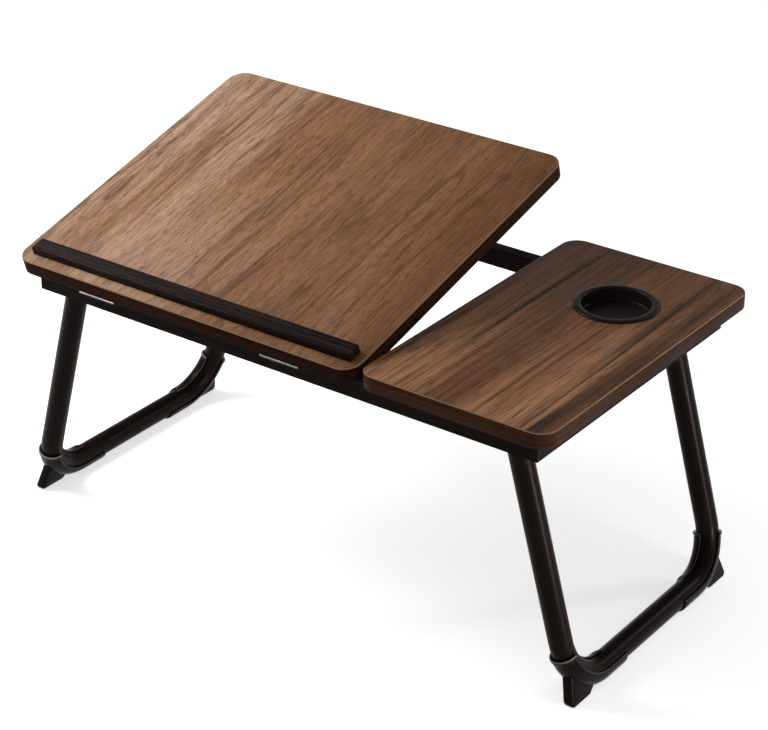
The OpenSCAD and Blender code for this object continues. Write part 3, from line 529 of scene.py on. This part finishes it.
def band_shell(x0, x1, place):
    """The edge band: a thin closed section with rounded outer corners carried round the outline. Each point
    of the section is an inset, a height and a one where it rises to give the knuckles room."""
    edge, normal = board_edge(x0, x1)
    lift = (ROOM_HIGH + 0.02) * knuckle_room(edge, normal)
    section = [(BAND, TOP - 0.1, 0), (0.97, TOP, 0), (0.9, TOP, 0), (0.56, TOP - 0.07, 0),
               (0.26, TOP - 0.26, 0), (0.07, TOP - 0.56, 0), (0, TOP - 0.95, 0), (0, UNDER + 0.7, 1),
               (0.1, UNDER + 0.32, 1), (0.35, UNDER + 0.08, 1), (0.7, UNDER, 1), (BAND, UNDER, 1)]
    grid = np.stack([ring(edge, normal, i, z + k * lift) for i, z, k in section])
    return shell(place(grid), wrap_u=True, wrap_v=True)


def tilt_panel_shell():
    """The tilting board's core: flat faces joined round the outline, with room for the knuckles below the
    front. Each row is an inset, a height and a one where it rises to give that room."""
    edge, normal = board_edge(LEFT, SEAM)
    lift = ROOM_HIGH * knuckle_room(edge, normal)
    rows = [(FACE_RING, TOP, 0), (EASE_IN, TOP, 0), (BAND, TOP - EASE_DOWN, 0), (BAND, UNDER + EASE_DOWN, 1),
            (EASE_IN, UNDER, 1), (ROOM_DEEP, UNDER, 0), (FACE_RING, UNDER, 0)]
    grid = np.stack([ring(edge, normal, i, z + k * lift) for i, z, k in rows])
    return shell(tilted(grid), wrap_v=True, caps=True)


def side_panel_shell():
    """The side board's core: its faces run from the outline to the holder's hole along rays from the hole's
    middle, with a shallow seat for the holder's flange."""
    edge, normal = board_edge(SIDE, RIGHT)
    inner = edge - EASE_IN * normal
    a = np.arctan2(inner[:, 1] - CUP[1], inner[:, 0] - CUP[0])
    ray = np.stack([np.cos(a), np.sin(a)], -1)
    seat, hole = CUP + CUP_SEAT * ray, CUP + CUP_BORE * ray
    spans = [(inner, TOP), ((inner + seat) / 2, TOP), (seat, TOP), (seat, TOP - SEAT_DEEP),
             (hole, TOP - SEAT_DEEP), (hole, UNDER), ((inner + hole) / 2, UNDER), (inner, UNDER)]
    faces = [stack(*p.T, z) for p, z in spans]
    wall = [ring(edge, normal, BAND, z) for z in (UNDER + EASE_DOWN, TOP - EASE_DOWN)]
    return shell(to_row(np.stack(faces + wall)), wrap_u=True, wrap_v=True)


piece("tilt_panel", [tilt_panel_shell()], WALNUT, "tilt_top", "walnut_laminate", "tilt_board")
piece("tilt_band", [band_shell(LEFT, SEAM, tilted)], SHADED_TILT_EDGE, "tilt_top", "edge_band", "tilt_edge_band")
piece("side_panel", [side_panel_shell()], SIDE_WALNUT, "frame", "walnut_laminate", "side_board")
piece("side_band", [band_shell(SIDE, RIGHT, to_row)], EDGE, "frame", "edge_band", "side_edge_band")


# Stop bar and cup holder

def bar_shell():
    """The stop bar: a flat-topped section with rounded top edges carried along X, drawn in a little at both
    ends and leaning in at the right one."""
    a = quarter(0, 7)
    level = BAR_HIGH - BAR_ROUND
    back = np.stack([BAR_BACK - BAR_ROUND + BAR_ROUND * np.cos(a), level + BAR_ROUND * np.sin(a)], -1)
    fore = np.stack([BAR_FRONT + BAR_ROUND - BAR_ROUND * np.sin(a), level + BAR_ROUND * np.cos(a)], -1)
    section = np.concatenate([[[BAR_BACK, 0.0]], back, fore, [[BAR_FRONT, 0.0]]])
    middle = section.mean(0)
    ends = np.array([0.0, 0.3, 1.2])
    x = np.concatenate([BAR_LEFT + ends, BAR_RIGHT - ends[::-1]])[:, None]
    shrink = np.array([0.9, 0.97, 1.0, 1.0, 0.97, 0.9])[:, None]
    y = middle[0] + shrink * (section[:, 0] - middle[0])
    z = shrink * section[:, 1]
    lean = np.array([0, 0, 0, 1, 1, 1])[:, None] * BAR_LEAN * z / BAR_HIGH
    return shell(tilted(stack(x - lean, y, TOP + z)), wrap_v=True, caps=True)


def cup_shell():
    """The cup holder: a profile of radius and height turned about the well's axis."""
    profile = np.array([(1.0, -11.0), (30.6, -11.0), (31.9, -10.7), (32.5, -9.8), (32.5, 0.5), (32.7, 1.2),
                        (33.3, 1.75), (34.3, 2.0), (37.0, 1.95), (38.6, 1.7), (39.5, 1.25), (40.0, 0.6),
                        (40.0, -0.38), (34.1, -0.38), (34.1, -12.6), (1.0, -12.6)])
    a = circle(96)
    r, z = profile[:, :1], profile[:, 1:]
    grid = stack(CUP[0] + r * np.cos(a), CUP[1] + r * np.sin(a), TOP + z)
    return shell(to_row(grid), wrap_v=True, caps=True)


piece("stop_bar_foiled", [bar_shell()], BAR, "tilt_top", "black_plastic", "stop_bar")
piece("cup_holder_ring", [cup_shell()], CUP_PLASTIC, "frame", "black_plastic", "cup_holder", sharp=50)


# Legs

def u_path():
    """A leg's line from front head to rear head: straight, quarter bend, straight, quarter bend, straight.
    Gives y, z and the outward normal in the leg's own plane."""
    down = np.array([-1.0, -6.0, -40.0, -90.0, -140.0, BEND - LEG])
    flat = np.linspace(BEND - LEG_Y, LEG_Y - BEND, 8)[1:]
    up = down[-2::-1]
    q, q2 = quarter(180, 25)[1:], quarter(270, 25)[1:]
    y = np.concatenate([np.full_like(down, -LEG_Y), BEND - LEG_Y + BEND * np.cos(q), flat,
                        LEG_Y - BEND + BEND * np.cos(q2), np.full_like(up, LEG_Y)])
    z = np.concatenate([down, BEND - LEG + BEND * np.sin(q), np.full_like(flat, -LEG),
                        BEND - LEG + BEND * np.sin(q2), up])
    turn = np.concatenate([np.full_like(down, np.pi), q, np.full_like(flat, 1.5 * np.pi), q2,
                           np.full_like(up, 2 * np.pi)])
    return y[:, None], z[:, None], np.cos(turn)[:, None], np.sin(turn)[:, None]


def head_height(x):
    """The bevelled head's height over the pin: flat in the middle, sloping to nought at the tube's sides."""
    return HEAD_RISE * np.clip((TUBE - np.abs(x)) / (TUBE - HEAD_FLAT), 0.0, 1.0)


def tube_shell(side):
    """The leg: a circle carried along the U, with each end closed by discs that follow the bevelled head."""
    y, z, ny, nz = u_path()
    a = circle(40)
    cx, cn = TUBE * np.cos(a), TUBE * np.sin(a)
    body = stack(cx, y + ny * cn, z + nz * cn)
    k = np.array([0.04, 0.35, 0.6, 0.68, 0.8, 0.92, 0.985, 1.0])[:, None]
    head = head_height(k * cx) - HEAD_EDGE * (k == 1.0)
    fore = stack(k * cx, -LEG_Y - k * cn, head)
    rear = stack(k * cx, LEG_Y + k * cn, head)
    return shell(standing(np.concatenate([fore, body, rear[::-1]]), side), wrap_v=True, caps=True)


def clip_section(swell):
    """The clip's open ring with rounded lips, its outside moved by the swell of each row: how far each point
    lies out from the tube's line, and how far across it."""
    arc = np.radians(np.linspace(-86, 176, CLIP_ARC))
    lip = np.linspace(0, np.pi, CLIP_LIP + 2)[1:-1]
    half = (CLIP_OUT - CLIP_IN) / 2
    turn = np.concatenate([arc, np.full(CLIP_LIP, arc[-1]), arc[::-1], np.full(CLIP_LIP, arc[0])])
    none, full = np.zeros(CLIP_ARC), np.ones(CLIP_ARC)
    bulge = np.concatenate([none, half * np.sin(lip), none, -half * np.sin(lip)])
    level = np.concatenate([full, 0.5 + 0.5 * np.cos(lip), none, 0.5 - 0.5 * np.cos(lip)])
    r = CLIP_IN + level * (CLIP_OUT - CLIP_IN + swell)
    return r * np.cos(turn) - bulge * np.sin(turn), r * np.sin(turn) + bulge * np.cos(turn)


def clip_shell(side, end):
    """A foot's clip: the open ring carried round the bend and along the bottom tube, where a slanted plane
    ends it: its middle plus its slant times the way out less the way across, and its longest at most."""
    rows, runs = len(CLIP_TURN), len(CLIP_STEP)
    swell = [0.3, 0.7, 0.9, 0.9, 0.7, 0.25] + [0.0] * (rows + runs - 8) + [-0.2, -0.7]
    out, across = clip_section(np.array(swell)[:, None])
    ny = np.concatenate([np.cos(CLIP_TURN), np.zeros((runs, 1))])
    nz = np.concatenate([-np.sin(CLIP_TURN), -np.ones((runs, 1))])
    run = np.minimum(CLIP_LONGEST, CLIP_MIDDLE + CLIP_SLANT * (out[-1] - across[-1]) / TUBE)
    y = np.concatenate([LEG_Y - BEND + BEND * np.cos(CLIP_TURN) + 0 * run, LEG_Y - BEND - CLIP_STEP * run])
    z = np.concatenate([BEND - LEG - BEND * np.sin(CLIP_TURN), np.full((runs, 1), -LEG)])
    grid = stack(-across, end * (y + ny * out), z + nz * out)
    k = np.arange(CLIP_COLUMNS)
    outside, inside = np.concatenate([k[FIRST_TIP + 1:], k[:LAST_TIP]]), k[FIRST_TIP - 1:LAST_TIP:-1]
    return shell(standing(grid, side), wrap_v=True, strip=(outside, inside, (FIRST_TIP, LAST_TIP)))


def clip_rim():
    """How strongly each point of a clip's grid carries a painted highlight: its upper rim on the outside, and
    the outer half of both lips less so."""
    wear_and_highlight = np.zeros((len(CLIP_TURN) + len(CLIP_STEP), CLIP_COLUMNS))
    wear_and_highlight[:, np.r_[CLIP_ARC - 1:LAST_TIP, FIRST_TIP + 1:CLIP_COLUMNS, 0]] = LIP_HIGHLIGHT
    wear_and_highlight[:RIM_ROWS, :CLIP_ARC] = RIM_HIGHLIGHT
    return wear_and_highlight.ravel()


def fin_outline():
    """The fin's side view, as rounded corners joined by straight runs, with outward normals."""
    corners = np.array([(130.5, 18.0 - LEG), (138.9, -LEG - SOLE), (108.0, -LEG - SOLE), (95.0, -LEG - 5.0),
                        (115.0, 14.0 - LEG)])
    radius = np.array([2.0, 4.6, 5.0, 2.0, 2.0])
    back = unit(np.roll(corners, 1, 0) - corners)
    ahead = unit(np.roll(corners, -1, 0) - corners)
    half = np.arccos((back * ahead).sum(1)) / 2
    inward = unit(back + ahead)
    centre = corners + inward * (radius / np.sin(half))[:, None]
    n0 = np.stack([-back[:, 1], back[:, 0]], -1)
    n1 = np.stack([ahead[:, 1], -ahead[:, 0]], -1)
    n0 *= -np.sign((n0 * inward).sum(1))[:, None]
    n1 *= -np.sign((n1 * inward).sum(1))[:, None]
    t = np.linspace(0, 1, 9)[None, :, None]
    normal = unit(n0[:, None] * (1 - t) + n1[:, None] * t)
    points = centre[:, None] + radius[:, None, None] * normal
    return points.reshape(-1, 2), normal.reshape(-1, 2)


def fin_shell(side, end):
    """A foot's fin: its side view carried across the thickness, drawn in along a quarter round at both
    faces. A slight shear keeps its sole level with the floor."""
    edge, normal = fin_outline()
    q = quarter(0, 6)
    face = FIN_HALF - FIN_ROUND + FIN_ROUND * np.cos(q)
    draw = FIN_ROUND - FIN_ROUND * np.sin(q)
    inner = FIN_HALF - 2 * FIN_ROUND
    across = np.concatenate([-face, [-inner, inner], face[::-1]])
    inset = np.concatenate([draw, [0, 0], draw[::-1]])
    p = edge[None] - inset[:, None, None] * normal[None]
    x = across[:, None] + 0 * p[..., 0]
    z = p[..., 1] - side * x * math.tan(SPLAY)
    return shell(standing(stack(x, end * p[..., 0], z), side), wrap_v=True, caps=True)


for side, leg in ((-1, "left"), (1, "right")):
    piece(leg + "_leg_bent_tube", [tube_shell(side)], PAINT, leg + "_leg", "black_steel",
          leg + "_leg_tube", leg + "_leg_caps")
    for end, where in ((-1, "front"), (1, "rear")):
        # Each foot carries painted highlights along its clip's rim and lips
        piece(f"{leg}_{where}_foot_moulding", [clip_shell(side, end), fin_shell(side, end)], PLASTIC,
              leg + "_leg", "foot_plastic", f"{leg}_foot_{where}", rim=clip_rim())


# Prop

def propped(p):
    """Leans the prop's flat wire down to the rear about its pivot, to its foot's height, then to_row."""
    c, s = math.cos(TILT), math.sin(TILT)
    pivot_y = HINGE_Y + PROP_ALONG * c + PROP_DROP * s
    pivot_z = HINGE_Z + PROP_ALONG * s - PROP_DROP * c
    lean = math.asin((pivot_z - PROP_FOOT_Z) / PROP_LONG)
    c, s = math.cos(lean), math.sin(lean)
    return to_row(np.stack([p[..., 0] + PROP_X, pivot_y + p[..., 1] * c + p[..., 2] * s,
                            pivot_z - p[..., 1] * s + p[..., 2] * c], -1))


def prop_shells():
    """The prop: a wire carried along an arm, a bend, the pivot, a bend and an arm, and a straight foot
    across with rounded ends."""
    q, q2 = quarter(180, 13), quarter(270, 13)
    arm = PROP_LONG * np.array([1, 2, 3]) / 3
    x = np.concatenate([np.full_like(arm, -PROP_HALF), PROP_BEND - PROP_HALF + PROP_BEND * np.cos(q),
                        PROP_HALF - PROP_BEND + PROP_BEND * np.cos(q2), np.full_like(arm, PROP_HALF)])
    y = np.concatenate([arm[::-1], PROP_BEND + PROP_BEND * np.sin(q),
                        PROP_BEND + PROP_BEND * np.sin(q2), arm])
    turn = np.concatenate([np.full_like(arm, np.pi), q, q2, np.full_like(arm, 2 * np.pi)])[:, None]
    a = circle(24)
    wire = stack(x[:, None] + WIRE * np.cos(a) * np.cos(turn), y[:, None] + WIRE * np.cos(a) * np.sin(turn),
                 WIRE * np.sin(a))
    ends = PROP_FOOT_HALF - np.array([0.0, 0.4, 1.2])
    reach = np.concatenate([-ends, ends[::-1]])[:, None]
    girth = WIRE * np.array([0.72, 0.92, 1.0, 1.0, 0.92, 0.72])[:, None]
    foot = stack(reach, PROP_LONG + girth * np.cos(a), girth * np.sin(a))
    return [shell(propped(grid), wrap_v=True, caps=True) for grid in (wire, foot)]


piece("prop_bent_wire", prop_shells(), PAINT, "prop", "black_steel", "prop_wire")


# Finishes of the nodes that stay as packed
FINISH_OF_SLOT = {"rail_wood": FOIL, "pale_wood": PLY, "black_plastic": PLASTIC, "foot_plastic": PLASTIC,
                  "black_steel": PAINT, "bright_steel": ZINC, "rubber": RUBBER, "walnut_laminate": WALNUT,
                  "edge_band": EDGE}
for part in frame["record"]["subparts"]:
    mesh = nodes[part["node"]].data
    mesh.materials.clear()
    mesh.materials.append(HINGE if "hinge_leaf" in part["node"] else FINISH_OF_SLOT[part["material_slot"]])


# Stage, light and camera

def floor(half):
    """A wide plain floor under the feet, white to the eye and in reflections and whiter far away. It throws
    little light back up and is clear from below."""
    mesh = bpy.data.meshes.new("floor")
    mesh.from_pydata([(-half, -half, 0), (half, -half, 0), (half, half, 0), (-half, half, 0)], [],
                     [(0, 1, 2, 3)])
    obj = bpy.data.objects.new("floor", mesh)
    bpy.context.scene.collection.objects.link(obj)
    n = Finish("pale_floor", specular=0.0)
    path = n.add("ShaderNodeLightPath").outputs
    seen = n.math("MAXIMUM", path["Is Camera Ray"],
                  n.math("MAXIMUM", path["Is Glossy Ray"], path["Is Transmission Ray"]))
    glow = n.math("MULTIPLY", seen, n.spread(n.length(n.where), 0.9, 2.6, 0.6, 0.95))
    for key, value in (("Base Color", n.mix(seen, grey(0.4), grey(0.9))), ("Roughness", 0.9),
                       ("Emission Color", WHITE), ("Emission Strength", glow)):
        n.set(n.shader.inputs[key], value)
    under = n.add("ShaderNodeNewGeometry").outputs["Backfacing"]
    clear = n.add("ShaderNodeBsdfTransparent").outputs[0]
    both = n.add("ShaderNodeMixShader", {0: under, 1: n.shader.outputs[0], 2: clear}).outputs[0]
    n.set(n.tree.nodes["Material Output"].inputs["Surface"], both)
    mesh.materials.append(n.material)


def surround():
    """An even surround: white towards the horizon, softer overhead."""
    world = bpy.data.worlds.new("surround")
    world.use_nodes = True
    bpy.context.scene.world = world
    n = Nodes(world.node_tree)
    shade = n.tree.nodes["Background"]
    height = n.height(n.add("ShaderNodeTexCoord").outputs["Generated"])
    n.set(shade.inputs["Color"], WHITE)
    n.set(shade.inputs["Strength"], n.spread(height, 0.1, 0.32, 1.0, 0.27))


def facing(place, back):
    """A place with the turn whose Z points back and whose X is level."""
    z = unit(back)
    x = unit(np.cross((0, 0, 1), z))
    turn = Matrix(np.stack([x, np.cross(z, x), z], -1).tolist())
    return Matrix.Translation(place) @ turn.to_4x4()


def lamp(name, place, target, wide, high, watts):
    """A soft rectangular light at a place, facing a target, not seen itself. Places are in metres."""
    light = bpy.data.lights.new(name, "AREA")
    light.shape = "RECTANGLE"
    light.size, light.size_y = wide, high
    light.energy = watts
    obj = bpy.data.objects.new(name, light)
    obj.visible_camera = False
    obj.matrix_world = facing(place, np.array(place) - np.array(target))
    bpy.context.scene.collection.objects.link(obj)


def camera():
    """The photograph's view, found by fitting the boards' and legs' lines."""
    level = math.cos(CAMERA_RISE)
    back = np.array([math.sin(CAMERA_TURN) * level, -math.cos(CAMERA_TURN) * level, math.sin(CAMERA_RISE)])
    data = bpy.data.cameras.new("camera")
    data.sensor_fit = "HORIZONTAL"
    data.sensor_width = SENSOR
    data.lens = LENS_PIXELS / PICTURE_PIXELS * SENSOR
    data.clip_end = 50.0
    obj = bpy.data.objects.new("camera", data)
    obj.matrix_world = facing(to_row(CAMERA_PLACE).tolist(), back)
    bpy.context.scene.collection.objects.link(obj)
    bpy.context.scene.camera = obj


floor(half=9.0)
surround()
lamp("key", place=(-1.0, -0.35, 1.12), target=(0.0, 0.0, 0.25), wide=0.7, high=0.7, watts=15.0)
lamp("strip", place=(1.6, -0.05, 0.14), target=(0.3, -0.05, 0.14), wide=0.26, high=0.26, watts=13.0)
lamp("back", place=(1.1, 1.45, 0.95), target=(0.2, 0.0, 0.1), wide=0.22, high=0.5, watts=4.0)
camera()
bpy.context.scene.view_settings.view_transform = "Standard"
